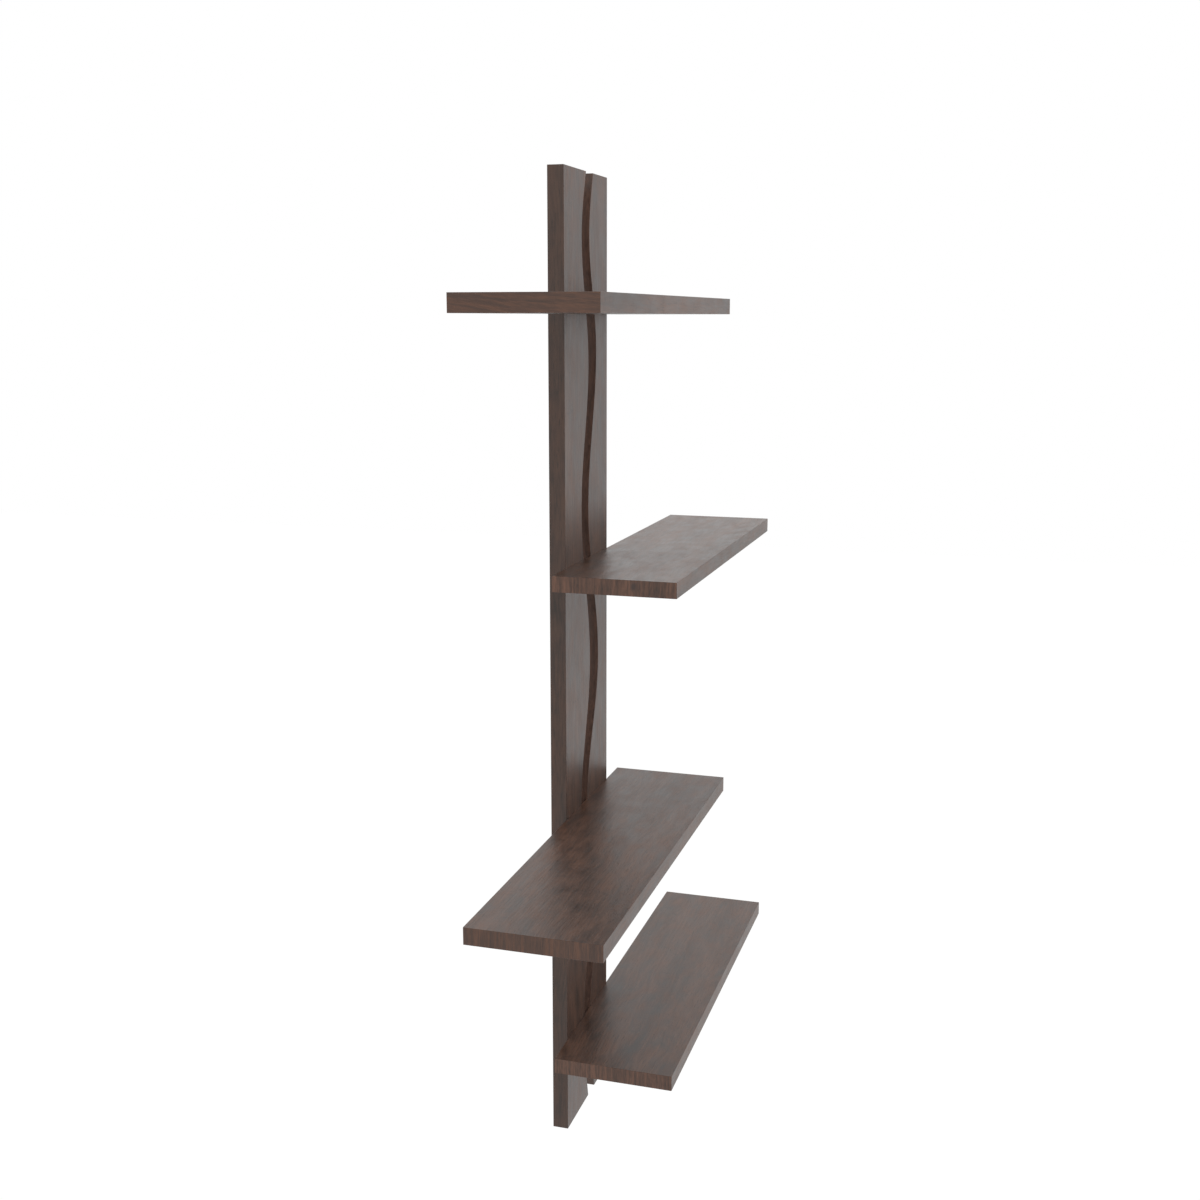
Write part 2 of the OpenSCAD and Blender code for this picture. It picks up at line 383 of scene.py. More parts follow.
@dataclass(frozen=True)
class WalnutEnd:
    """The sawn, sanded and lacquered ends and sawn curves of a stained walnut board.

    Cut fibres drink the stain unevenly, so the eye gets soft red and dark streaks close together, and on
    the planks' tops and feet the arcs of the growth rings.
    """

    figure: EndFigure
    darkest: str = "#3E2B22"
    brown: str = "#4D3529"
    reddish: str = "#5E4030"
    knot_colour: str = "#2C2422"
    # Each pattern's size along the streaks and in the two directions across them
    bands_mm: Point = (150.0, 15.0, 15.0)
    lines_mm: Point = (70.0, 3.4, 3.4)
    specks_mm: Point = (12.0, 1.5, 1.5)
    # On the ends with growth rings, the specks' size along x, y and z, the pith's place and a ring's width
    ring_specks_mm: Point = (1.4, 1.4, 9.0)
    pith_mm: Point = (20.0, 70.0, 0.0)
    ring_mm: float = 3.5
    # The knot's middle in metres, its width and height, its strength, and the radii where it fades
    knot: Point | None = None
    knot_mm: Pair = (9.0, 15.0)
    knot_strength: float = 0.75
    knot_fade: Pair = (0.3, 1.3)
    relief_mm: float = 0.4
    roughness: Pair = (0.36, 0.5)

    def rings(self, tree: Tree, place: Socket) -> Socket:
        """Growth rings round a pith that lies behind the board, as a wave of the distance from it.

        Args:
            tree: the material's node tree.
            place: coordinates in metres.

        Returns:
            The socket with the rings, from 0 to 1.
        """
        pith = tuple(value * MM for value in self.pith_mm)
        moved = add(tree, "ShaderNodeMapping", {"Vector": place, "Location": pith})
        scale = 2 * pi / (WAVE_RADIANS * self.ring_mm * MM)
        inputs = {"Vector": moved.outputs[0], "Scale": scale, "Distortion": 3.0, "Detail": 2.0}
        return add(tree, "ShaderNodeTexWave", inputs, wave_type="RINGS", rings_direction="Z").outputs["Fac"]

    def knotted(self, tree: Tree, raw: Socket, colour: Socket) -> Socket:
        """Darken a soft oval round the place of the pin knot.

        Args:
            tree: the material's node tree.
            raw: coordinates in metres.
            colour: the colour without the knot.

        Returns:
            The socket with the colour.
        """
        width, height = self.knot_mm
        scale = (2 / (width * MM), 2 / (width * MM), 2 / (height * MM))
        offset = add(tree, "ShaderNodeVectorMath", {0: raw, 1: self.knot}, operation="SUBTRACT")
        oval = add(tree, "ShaderNodeVectorMath", {0: offset.outputs[0], 1: scale}, operation="MULTIPLY")
        radius = add(tree, "ShaderNodeVectorMath", {0: oval.outputs[0]}, operation="LENGTH").outputs["Value"]
        inner, outer = self.knot_fade
        inputs = {"Value": radius, "From Min": outer, "From Max": inner, "To Max": self.knot_strength}
        dark = add(tree, "ShaderNodeMapRange", inputs, interpolation_type="SMOOTHSTEP").outputs[0]
        inputs = {FACTOR: dark, FIRST: colour, SECOND: linear(self.knot_colour)}
        return add(tree, "ShaderNodeMix", inputs, data_type="RGBA").outputs[MIXED]

    def material(self, name: str) -> Material:
        """Dress a board's cut faces.

        Args:
            name: the material's name.

        Returns:
            The finished material.
        """
        material, tree, shader, raw = start_material(name)
        turn, drift_mm, scale = self.figure.value
        along = add(tree, "ShaderNodeMapping", {"Vector": raw, "Rotation": turn}).outputs[0]
        place = drifted(tree, along, along, (drift_mm,) * 3, scale)
        bands = blotches(tree, place, self.bands_mm, detail=2.0)
        if self.figure is EndFigure.RINGS:
            lines = self.rings(tree, place)
            specks = blotches(tree, place, self.ring_specks_mm, detail=1.0)
        else:
            lines = blotches(tree, place, self.lines_mm, detail=1.0)
            specks = blotches(tree, place, self.specks_mm, detail=1.0)
        tone = weighted(tree, [(bands, 0.28), (lines, 0.44), (specks, 0.28)])
        stops = {0.15: self.darkest, 0.5: self.brown, 0.85: self.reddish}
        colour = add(tree, "ShaderNodeValToRGB", {"Fac": tone}, stops).outputs[0]
        if self.knot is not None:
            colour = self.knotted(tree, raw, colour)
        low, high = self.roughness
        rough = add(tree, "ShaderNodeMapRange", {"Value": lines, "To Min": low, "To Max": high})
        inputs = {"Height": specks, "Strength": 0.15, "Distance": self.relief_mm * MM}
        bump = add(tree, "ShaderNodeBump", inputs).outputs[0]
        feed(shader, {"Base Color": colour, "Roughness": rough.outputs[0], "Normal": bump})
        return material


@dataclass(frozen=True)
class DrilledWalnut:
    """Bare walnut inside bores and recesses, as the drill and the router leave it.

    It has no stain or lacquer, so the eye gets a paler, dull brown with fine tool marks round the hole.
    """

    dark: str = "#5A4230"
    pale: str = "#8A6A50"
    fibres_mm: Point = (5.0, 1.2, 5.0)
    # The cutter's feed leaves a mark every 0.6 mm, drawn at 0.9 mm so that it shows.
    marks_mm: Point = (40.0, 0.9, 40.0)
    relief_mm: float = 0.3
    roughness: float = 0.8

    def material(self) -> Material:
        """Dress the walls of holes.

        Returns:
            The finished material.
        """
        material, tree, shader, place = start_material("drilled walnut")
        fibres = blotches(tree, place, self.fibres_mm, detail=3.0)
        marks = blotches(tree, place, self.marks_mm, detail=0.0)
        tone = weighted(tree, [(fibres, 0.7), (marks, 0.3)])
        stops = {0.1: self.dark, 0.9: self.pale}
        colour = add(tree, "ShaderNodeValToRGB", {"Fac": tone}, stops).outputs[0]
        inputs = {"Height": tone, "Strength": 0.3, "Distance": self.relief_mm * MM}
        bump = add(tree, "ShaderNodeBump", inputs).outputs[0]
        feed(shader, {"Base Color": colour, "Roughness": self.roughness, "Normal": bump})
        return material


@dataclass(frozen=True)
class TurnedBeech:
    """Beech rod, turned and pressed with flutes.

    The eye gets a pale pinkish wood with the short dark flecks that only beech has.
    """

    pale: str = "#D9B98F"
    dark: str = "#BF9768"
    fleck: str = "#8E6842"
    grain_mm: Point = (1.5, 24.0, 1.5)
    flecks_mm: Point = (0.5, 2.4, 0.5)
    relief_mm: float = 0.2
    roughness: float = 0.6

    def material(self) -> Material:
        """Dress the dowels.

        Returns:
            The finished material.
        """
        material, tree, shader, place = start_material("turned beech")
        grain = blotches(tree, place, self.grain_mm, detail=2.0)
        flecks = blotches(tree, place, self.flecks_mm, detail=0.0, low=0.66, high=0.72)
        stops = {0.0: self.dark, 1.0: self.pale}
        base = add(tree, "ShaderNodeValToRGB", {"Fac": grain}, stops).outputs[0]
        inputs = {FACTOR: flecks, FIRST: base, SECOND: linear(self.fleck)}
        flecked = add(tree, "ShaderNodeMix", inputs, data_type="RGBA").outputs[MIXED]
        inputs = {"Height": grain, "Strength": 0.2, "Distance": self.relief_mm * MM}
        bump = add(tree, "ShaderNodeBump", inputs).outputs[0]
        feed(shader, {"Base Color": flecked, "Roughness": self.roughness, "Normal": bump})
        return material


@dataclass(frozen=True)
class PlatedSteel:
    """Steel with a thin finish over it, which keeps the tool marks of the bare metal.

    Zinc gives the eye a bright blue grey with cloudy patches, and black oxide a deep oily black with
    browner patches where it is thin.
    """

    name: str
    deep: str
    bright: str
    roughness: Pair
    patches_mm: Point = (3.5, 3.5, 3.5)
    # Rolling and turning leave scratches of about 0.05 mm, drawn at 0.4 mm so that they show.
    scratches_mm: Point = (9.0, 0.4, 0.4)
    relief_mm: float = 0.1

    def material(self) -> Material:
        """Dress bolts, nuts, plates or screws.

        Returns:
            The finished material.
        """
        material, tree, shader, place = start_material(self.name)
        patches = blotches(tree, place, self.patches_mm, detail=3.0)
        scratches = blotches(tree, place, self.scratches_mm, detail=1.0)
        stops = {0.1: self.deep, 0.9: self.bright}
        colour = add(tree, "ShaderNodeValToRGB", {"Fac": patches}, stops).outputs[0]
        low, high = self.roughness
        gloss = weighted(tree, [(patches, 0.6), (scratches, 0.4)])
        rough = add(tree, "ShaderNodeMapRange", {"Value": gloss, "To Min": low, "To Max": high}).outputs[0]
        inputs = {"Height": scratches, "Strength": 0.08, "Distance": self.relief_mm * MM}
        bump = add(tree, "ShaderNodeBump", inputs).outputs[0]
        feed(shader, {"Base Color": colour, "Roughness": rough, "Normal": bump, "Metallic": 1.0})
        return material


BRIGHT_ZINC = PlatedSteel("bright zinc on steel", "#A4A8AD", "#C9CCD0", (0.24, 0.42))
BLACK_OXIDE = PlatedSteel("black oxide on steel", "#19191B", "#35322F", (0.34, 0.52))


class Wardrobe:
    """All finished materials, each made once."""

    def __init__(self) -> None:
        """Make every material of the shelf."""
        walnut = LacqueredWalnut()
        self.plank_face = walnut.material("lacquered walnut, upright grain", Grain.ALONG_PLANK)
        # A plank's narrow side is cut along the rings' radius, so its figure is fine, straight and calm.
        calm = replace(walnut, darkest="#2F231C", heartwood="#3E2D25", palest="#48362C", reddish="#573B2C",
                       weights=(0.13, 0.1, 0.07, 0.5, 0.2, 0.0))
        self.plank_side = calm.material("lacquered walnut, planed side", Grain.ALONG_PLANK)
        self.shelf_face = walnut.material("lacquered walnut, level grain", Grain.ALONG_SHELF)
        self.plank_end = WalnutEnd(EndFigure.RINGS).material("lacquered walnut end grain")
        upright, slanting = WalnutEnd(EndFigure.UPRIGHT), WalnutEnd(EndFigure.SLANTING)
        # The slot's sawn curves take a darker brown and red than the other ends: painted shade for the light
        # that the narrow slot keeps out.
        sawn_in_painted_shade = replace(upright, brown="#4B3429", reddish="#583C2E")
        self.slot_edge = sawn_in_painted_shade.material("lacquered walnut, sawn curve, painted shade")
        lively = replace(upright, darkest="#3A281E", brown="#53392C", reddish="#6B4B3B")
        self.shelf_ends = {
            1: slanting.material("lacquered walnut end, slanting streaks"),
            2: replace(lively, knot=self.knot_place()).material("lacquered walnut end, pin knot"),
            3: upright.material("lacquered walnut end, upright streaks"),
            4: lively.material("lacquered walnut end, lively streaks"),
        }
        self.drilled = DrilledWalnut().material()
        self.beech = TurnedBeech().material()
        self.zinc = BRIGHT_ZINC.material()
        self.black = BLACK_OXIDE.material()

    @staticmethod
    def knot_place() -> Point:
        """Where the pin knot in shelf 2's left end is, in metres.

        Returns:
            Its middle, worked out from its distances in millimetres from the front and the top.
        """
        behind_front, under_top = 68.6, 9.7
        low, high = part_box("shelf_2")
        return low.x, low.y + behind_front * MM, high.z - under_top * MM


# Mesh helpers


def closed_stack(name: str, rings: Array, finish: Material | None = None) -> Mesh:
    """Make a closed mesh from rings of points: quads between rings, and one flat face over each end.

    A ring that has shrunk to a point or has doubled corners is merged, which closes its pole. Faces are
    turned outwards by the sign of the volume, which is the sum of the triangles' triple products.

    Args:
        name: the mesh's name.
        rings: points in metres, as rings by points by 3.
        finish: its material, where it has one all over.

    Returns:
        The mesh.
    """
    count, around, _ = rings.shape
    points = rings.reshape(-1, 3)
    here = np.arange(around)
    ahead = np.roll(here, -1)
    starts = np.arange(count - 1)[:, None] * around
    corners = [starts + here, starts + ahead, starts + ahead + around, starts + here + around]
    quads = np.stack(corners, axis=-1).reshape(-1, 4)
    middle = points.mean(axis=0)
    a, b, c, d = (points[quads[:, k]] - middle for k in range(4))
    volume = np.einsum("ij,ij->", a, np.cross(b, c)) + np.einsum("ij,ij->", a, np.cross(c, d))
    faces = quads.tolist() + [here[::-1].tolist(), (here + (count - 1) * around).tolist()]
    if volume < 0:
        faces = [face[::-1] for face in faces]
    mesh = bpy.data.meshes.new(name)
    mesh.from_pydata(points.tolist(), [], faces)
    work = bmesh.new()
    work.from_mesh(mesh)
    bmesh.ops.remove_doubles(work, verts=work.verts, dist=MERGE_DISTANCE)
    work.to_mesh(mesh)
    work.free()
    if finish is not None:
        mesh.materials.append(finish)
    return mesh


def carved(mesh: Mesh, tools: Iterable[Mesh]) -> Mesh:
    """Cut closed shapes out of a mesh. The cut faces take the tools' materials.

    Args:
        mesh: the closed mesh to cut.
        tools: closed meshes to take away.

    Returns:
        The mesh that is left.
    """
    scene = bpy.context.scene
    stock = bpy.data.objects.new(mesh.name, mesh)
    rack = bpy.data.collections.new("tools")
    scene.collection.objects.link(stock)
    scene.collection.children.link(rack)
    for tool in tools:
        rack.objects.link(bpy.data.objects.new(tool.name, tool))
    cut = stock.modifiers.new("cut", "BOOLEAN")
    cut.operation, cut.solver, cut.material_mode = "DIFFERENCE", "EXACT", "TRANSFER"
    cut.operand_type, cut.collection = "COLLECTION", rack
    bpy.context.view_layer.update()
    left_over = bpy.data.meshes.new_from_object(stock.evaluated_get(bpy.context.evaluated_depsgraph_get()))
    left_over.name = mesh.name
    for tool in list(rack.objects):
        bpy.data.objects.remove(tool)
    bpy.data.objects.remove(stock)
    bpy.data.collections.remove(rack)
    return left_over


def set_down(name: str, mesh: Mesh, node: str) -> None:
    """Put a finished piece in the scene, in place of its solid.

    Args:
        name: the piece's name.
        mesh: its mesh, in place and with its materials.
        node: the solid that it stands for.
    """
    mesh.shade_smooth()
    mesh.set_sharp_from_angle(angle=radians(SHARP_DEGREES))
    piece = bpy.data.objects.new(name, mesh)
    bpy.context.scene.collection.objects.link(piece)
    normals = piece.modifiers.new("flat faces stay flat", "WEIGHTED_NORMAL")
    normals.keep_sharp = True
    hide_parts(node)
    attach(piece, "root")
    LOG.info("%s stands for %s with %d faces", name, node, len(mesh.polygons))


def dress(mesh: Mesh, long_faces: Material, cuts: dict[Material, tuple[Point, ...]]) -> None:
    """Give a board its finishes: one all over, and others on the faces that look a certain way.

    Args:
        mesh: the board's mesh.
        long_faces: the finish of the faces that no cut names.
        cuts: directions by finish. A face within 45 degrees of a direction takes the finish. Each finish
            comes once, because carving a mesh keeps one slot for each.
    """
    normals = np.empty(3 * len(mesh.polygons))
    mesh.polygons.foreach_get("normal", normals)
    slots = np.zeros(len(mesh.polygons), np.int32)
    mesh.materials.append(long_faces)
    for number, (finish, ways) in enumerate(cuts.items(), start=1):
        mesh.materials.append(finish)
        nearest = (normals.reshape(-1, 3) @ np.array(ways).T).max(axis=1)
        slots[nearest > cos(pi / 4)] = number
    mesh.polygons.foreach_set("material_index", slots)


# Shapes


def wave(shares: tuple[Pair, ...], height_share: Array) -> Array:
    """How far across the pair of planks one of the slot's edges is.

    Half a cosine wave leads from each turning point a to the next one b: a + (b - a)(1 - cos(pi t)) / 2,
    with t the share of the height between them.

    Args:
        shares: the edge's turning points.
        height_share: heights, as a share of the planks' height.

    Returns:
        The edge's distance from the pair's left side, as a share of its width.
    """
    turns = np.array(shares)
    stretch = np.clip(np.searchsorted(turns[:, 0], height_share, side="right") - 1, 0, len(turns) - 2)
    start, end = turns[stretch], turns[stretch + 1]
    along = (height_share - start[:, 0]) / (end[:, 0] - start[:, 0])
    return start[:, 1] + (end[:, 1] - start[:, 1]) * (1 - np.cos(pi * along)) / 2


def eased_bar(span: Pair, steps: int, sides: Callable[[Array], tuple[Array, Array]], faces: Pair,
              ease: float, last_ease: float) -> Array:
    """Rings of a bar whose twelve edges are all rounded.

    A section at the distance t from an end is the bar's section less the radius on each side, grown again
    by the root of ease squared less (ease - t) squared, with round corners.

    Args:
        span: where the bar starts and ends along its length.
        steps: how many sections it has between its ends.
        sides: gives the two side positions at each distance along the bar.
        faces: positions of its two flat faces.
        ease: radius of its edges at both ends and of the long edges of its first side.
        last_ease: radius of the long edges of its last side.

    Returns:
        Rings by points by three values: along the bar, across it, and through it.
    """
    latitude = np.linspace(pi / 2, 0, EASE_STEPS + 1)
    inset = ease * (1 - np.sin(latitude))
    middle = np.linspace(span[0] + ease, span[1] - ease, steps + 1)[1:-1]
    along = np.concatenate([span[0] + inset, middle, (span[1] - inset)[::-1]])
    grown = np.concatenate([np.cos(latitude), np.ones(len(middle)), np.cos(latitude)[::-1]])[:, None]
    corner = np.repeat(np.arange(4), EASE_STEPS + 1)
    angle = corner * pi / 2 + np.tile(np.linspace(0, pi / 2, EASE_STEPS + 1), 4)
    radius = np.where(np.isin(corner, (0, 3)), last_ease, ease)
    first, last = (np.broadcast_to(side, along.shape)[:, None] for side in sides(along))
    across = np.where(np.isin(corner, (0, 3)), last - radius, first + radius)
    across = across + grown * radius * np.cos(angle)
    through = np.where(np.isin(corner, (0, 1)), faces[1] - radius, faces[0] + radius)
    through = through + grown * radius * np.sin(angle)
    return np.stack([np.broadcast_to(along[:, None], across.shape), across, through], axis=-1)


def angles(count: int, shift: float = 0.0) -> Array:
    """Even angles round a full turn, the first of them this share of a step past the axis."""
    return (np.arange(count) + shift) * 2 * pi / count


def stack(rows: Iterable[tuple[float, float | Array]], around: Array) -> Array:
    """Rings round an axis, each at a distance along the axis and with a radius for each angle.

    Args:
        rows: distance along the axis and radius, or radii by angle, both in millimetres.
        around: the angles.

    Returns:
        Rings by points by three values in metres: two across the axis, and the distance along it.
    """
    distance = np.array([row[0] for row in rows])
    radius = np.array([np.broadcast_to(row[1], around.shape) for row in rows])
    along = np.broadcast_to(distance[:, None], radius.shape)
    return np.stack([radius * np.cos(around), radius * np.sin(around), along], axis=-1) * MM


def capsule_stack(rows: Iterable[Pair], low: float, high: float, around: Array) -> Array:
    """Rings with straight sides and round ends, one above the other's place along the axis.

    Args:
        rows: distance along the axis and width, in millimetres.
        low: height of the lower end's centre, in millimetres.
        high: height of the upper end's centre, in millimetres.
        around: the angles.

    Returns:
        Rings as stack gives them.
    """
    rings = stack([(distance, width / 2) for distance, width in rows], around)
    rings[..., 1] += MM * np.where(np.sin(around) > 0, high, low)
    return rings


def polygon_radius(around: Array, sides: int, apothem: float) -> Array:
    """Radius of a regular polygon: its apothem over the cosine of the angle from a side's middle."""
    sector = 2 * pi / sides
    return apothem / np.cos(around % sector - sector / 2)


def cross_radius(around: Array, arm: float, half_width: float) -> Array:
    """Radius of a plus sign: the nearer of its arm's end and the arm's side in each direction."""
    shorter, longer = np.sort(np.abs([np.cos(around), np.sin(around)]), axis=0)
    return np.minimum(arm / longer, half_width / np.maximum(shorter, half_width / arm))


def thread_rows(start: float, end: float, root: float, crest: float, pitch: float,
                around: Array) -> list[tuple[float, Array]]:
    """Rows of a screw thread, whose ridge climbs one pitch in each turn and fades out at both ends.

    The radius is the root plus the thread's height times 1 - |2f - 1|, with f the part after the point of
    distance over pitch less angle over a full turn.

    Args:
        start: where the thread starts along the axis.
        end: where it ends.
        root: radius at the bottom of the thread.
        crest: radius at its top.
        pitch: distance from ridge to ridge.
        around: the angles.

    Returns:
        Rows for stack, in millimetres.
    """
    distance = np.linspace(start, end, int(round((end - start) / pitch * THREAD_STEPS)) + 1)
    phase = (distance[:, None] / pitch - around / (2 * pi)) % 1
    fade = np.clip(np.minimum(distance - start, end - distance) / pitch, 0, 1)
    radius = root + (crest - root) * fade[:, None] * (1 - np.abs(2 * phase - 1))
    return list(zip(distance.tolist(), radius))


def out_from_wall(rings: Array, x: float, z: float, depth: float = 0.0) -> Array:
    """Turn rings so that their axis points from the wall to the front, and move them.

    Args:
        rings: rings as stack gives them.
        x: where the axis is along the wall.
        z: height of the axis.
        depth: how far in front of the wall the rings start.

    Returns:
        The rings in place.
    """
    return np.stack([x + rings[..., 0], -depth - rings[..., 2], z + rings[..., 1]], axis=-1)


# Sub-assemblies


@dataclass(frozen=True)
class Connectors:
    """The bolts, barrel nuts and dowels that hold one shelf, with the tools for their holes. Sizes in mm."""

    shelf: int
    wardrobe: Wardrobe
    bolt_r: float = 3.0
    bolt_head_r: float = 7.5
    bolt_head_t: float = 2.5
    head_round: float = 0.9
    socket: float = 4.0
    socket_depth: float = 4.0
    socket_cone: float = 0.5
    socket_edge: float = 0.25
    thread_root: float = 2.4
    thread_pitch: float = 1.0
    thread_l: float = 24.0
    tip_chamfer: float = 1.0
    nut_r: float = 5.0
    nut_chamfer: float = 0.6
    slot_w: float = 1.4
    slot_depth: float = 1.2
    dowel_r: float = 4.0
    dowel_chamfer: float = 1.0
    flutes: int = 24
    points_per_flute: int = 4
    flute_depth: float = 0.35
    bolt_gap: float = 0.5
    head_gap: float = 1.0
    thread_gap: float = 0.05
    wood_gap: float = 0.1
    tip_room: float = 1.5
    overrun: float = 1.0
    around: Array = field(default_factory=lambda: angles(48))

    def node(self, kind: Fastener) -> str:
        """Name of this shelf's node of one kind of fastener."""
        return f"{kind.value}_{self.shelf}"

    def place(self, kind: Fastener, side: Side) -> Point:
        """Middle of the fastener on one side, from the box of its node.

        Args:
            kind: the kind of fastener.
            side: the plank that it joins.

        Returns:
            The middle of its own box, in metres.
        """
        low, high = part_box(self.node(kind))
        radii = {Fastener.BOLT: self.bolt_head_r, Fastener.NUT: self.nut_r, Fastener.DOWEL: self.dowel_r}
        x = low.x + radii[kind] * MM if side is Side.LEFT else high.x - radii[kind] * MM
        return x, (low.y + high.y) / 2, (low.z + high.z) / 2

    def depths(self, kind: Fastener) -> Pair:
        """How far in front of the wall a kind of fastener starts and ends, in millimetres."""
        low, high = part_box(self.node(kind))
        return -high.y / MM, -low.y / MM

    def wall_tools(self, side: Side) -> list[Mesh]:
        """Tools for the holes that run out from the wall: the bolt's, wider for its head, and the dowel's.

        Args:
            side: the plank that they join.

        Returns:
            The closed tools, dressed as drilled wood.
        """
        bolt_start, bolt_tip = self.depths(Fastener.BOLT)
        dowel_start, dowel_end = self.depths(Fastener.DOWEL)
        head, shank = self.bolt_head_r + self.head_gap, self.bolt_r + self.bolt_gap
        floor, pin = bolt_start + self.bolt_head_t, self.dowel_r + self.wood_gap
        bolt_rows = [(-self.overrun, head), (floor, head), (floor, shank), (bolt_tip + self.tip_room, shank)]
        dowel_rows = [(dowel_start, pin), (dowel_end + self.tip_room, pin)]
        tools = []
        for kind, rows in ((Fastener.BOLT, bolt_rows), (Fastener.DOWEL, dowel_rows)):
            x, _, z = self.place(kind, side)
            rings = out_from_wall(stack(rows, self.around), x, z)
            tools.append(closed_stack("wall_hole", rings, self.wardrobe.drilled))
        return tools

    def nut_tool(self, side: Side) -> Mesh:
        """Tool for a barrel nut's blind hole, up from the shelf's underside.

        Args:
            side: the plank that the nut's bolt joins.

        Returns:
            The closed tool, dressed as drilled wood.
        """
        x, y, _ = self.place(Fastener.NUT, side)
        top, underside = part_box(self.node(Fastener.NUT))[1].z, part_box(f"shelf_{self.shelf}")[0].z
        radius = self.nut_r + self.wood_gap
        rings = stack([(-self.overrun, radius), ((top - underside) / MM, radius)], self.around)
        return closed_stack("nut_hole", rings + np.array([x, y, underside]), self.wardrobe.drilled)

    def bolt(self, side: Side) -> Mesh:
        """A hexagon-socket connector bolt: low round-edged head, plain shank, threaded end.

        Args:
            side: the plank that it joins.

        Returns:
            The bolt in place.
        """
        x, _, z = self.place(Fastener.BOLT, side)
        start, tip = self.depths(Fastener.BOLT)
        hexagon = polygon_radius(self.around, 6, self.socket / 2)
        bottom, under_head = start + self.socket_depth, start + self.bolt_head_t
        turn = np.linspace(pi / 2, 0, EASE_STEPS + 1)
        rim = zip(start + self.head_round * (1 - np.sin(turn)),
                  self.bolt_head_r - self.head_round * (1 - np.cos(turn)))
        thread_end = tip - self.tip_chamfer
        rows = [
            (bottom + self.socket_cone, 0.0), (bottom, hexagon), (start + self.socket_edge, hexagon),
            (start, hexagon + self.socket_edge), *rim,
            (under_head, self.bolt_head_r), (under_head, self.bolt_r),
            *thread_rows(thread_end - self.thread_l, thread_end, self.thread_root, self.bolt_r,
                         self.thread_pitch, self.around),
            (tip, self.thread_root - self.tip_chamfer / 2), (tip, 0.0),
        ]
        return closed_stack("bolt", out_from_wall(stack(rows, self.around), x, z), self.wardrobe.black)

    def nut(self, side: Side) -> Mesh:
        """A barrel nut: a turned pin with a cross hole and a screwdriver slot in its lower end.

        Args:
            side: the plank that its bolt joins.

        Returns:
            The nut in place.
        """
        x, y, _ = self.place(Fastener.NUT, side)
        low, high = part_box(self.node(Fastener.NUT))
        zinc = self.wardrobe.zinc
        length, rise = (high.z - low.z) / MM, self.nut_chamfer
        rim = self.nut_r - rise
        rows = [(0.0, rim), (rise, self.nut_r), (length - rise, self.nut_r), (length, rim)]
        pin = closed_stack("barrel_nut", stack(rows, self.around) + np.array([x, y, low.z]), zinc)
        bolt_z = self.place(Fastener.BOLT, side)[2]
        past, bore = 2 * self.nut_r, self.bolt_r + self.thread_gap
        rings = stack([(-past, bore), (past, bore)], self.around)
        hole = closed_stack("cross_hole", out_from_wall(rings, x, bolt_z, -y), zinc)
        half = np.array([past, self.slot_w / 2]) * MM
        corners = np.array([(1, 1), (-1, 1), (-1, -1), (1, -1)]) * half + np.array([x, y])
        heights = low.z + MM * np.array([-self.overrun, self.slot_depth])
        slot = np.stack([np.column_stack([corners, np.full(4, height)]) for height in heights])
        return carved(pin, [hole, closed_stack("slot", slot, zinc)])

    def dowel(self, side: Side) -> Mesh:
        """A fluted dowel with chamfered ends. Its radius dips by the flute depth as a cosine of the angle.

        Args:
            side: the plank that it joins.

        Returns:
            The dowel in place.
        """
        x, _, z = self.place(Fastener.DOWEL, side)
        start, end = self.depths(Fastener.DOWEL)
        around = angles(self.points_per_flute * self.flutes)
        fluted = self.dowel_r - self.flute_depth * (1 - np.cos(self.flutes * around)) / 2
        rise = self.dowel_chamfer
        rim = self.dowel_r - rise
        rows = [(start, rim), (start + rise, fluted), (end - rise, fluted), (end, rim)]
        return closed_stack("dowel", out_from_wall(stack(rows, around), x, z), self.wardrobe.beech)

    def make(self) -> None:
        """Set down the bolt, nut and dowel on both sides of the shelf."""
        for side in Side:
            tail = f"{self.shelf}_{side.value}"
            set_down(f"connector_bolt_{tail}", self.bolt(side), self.node(Fastener.BOLT))
            set_down(f"barrel_nut_{tail}", self.nut(side), self.node(Fastener.NUT))
            set_down(f"fluted_dowel_{tail}", self.dowel(side), self.node(Fastener.DOWEL))


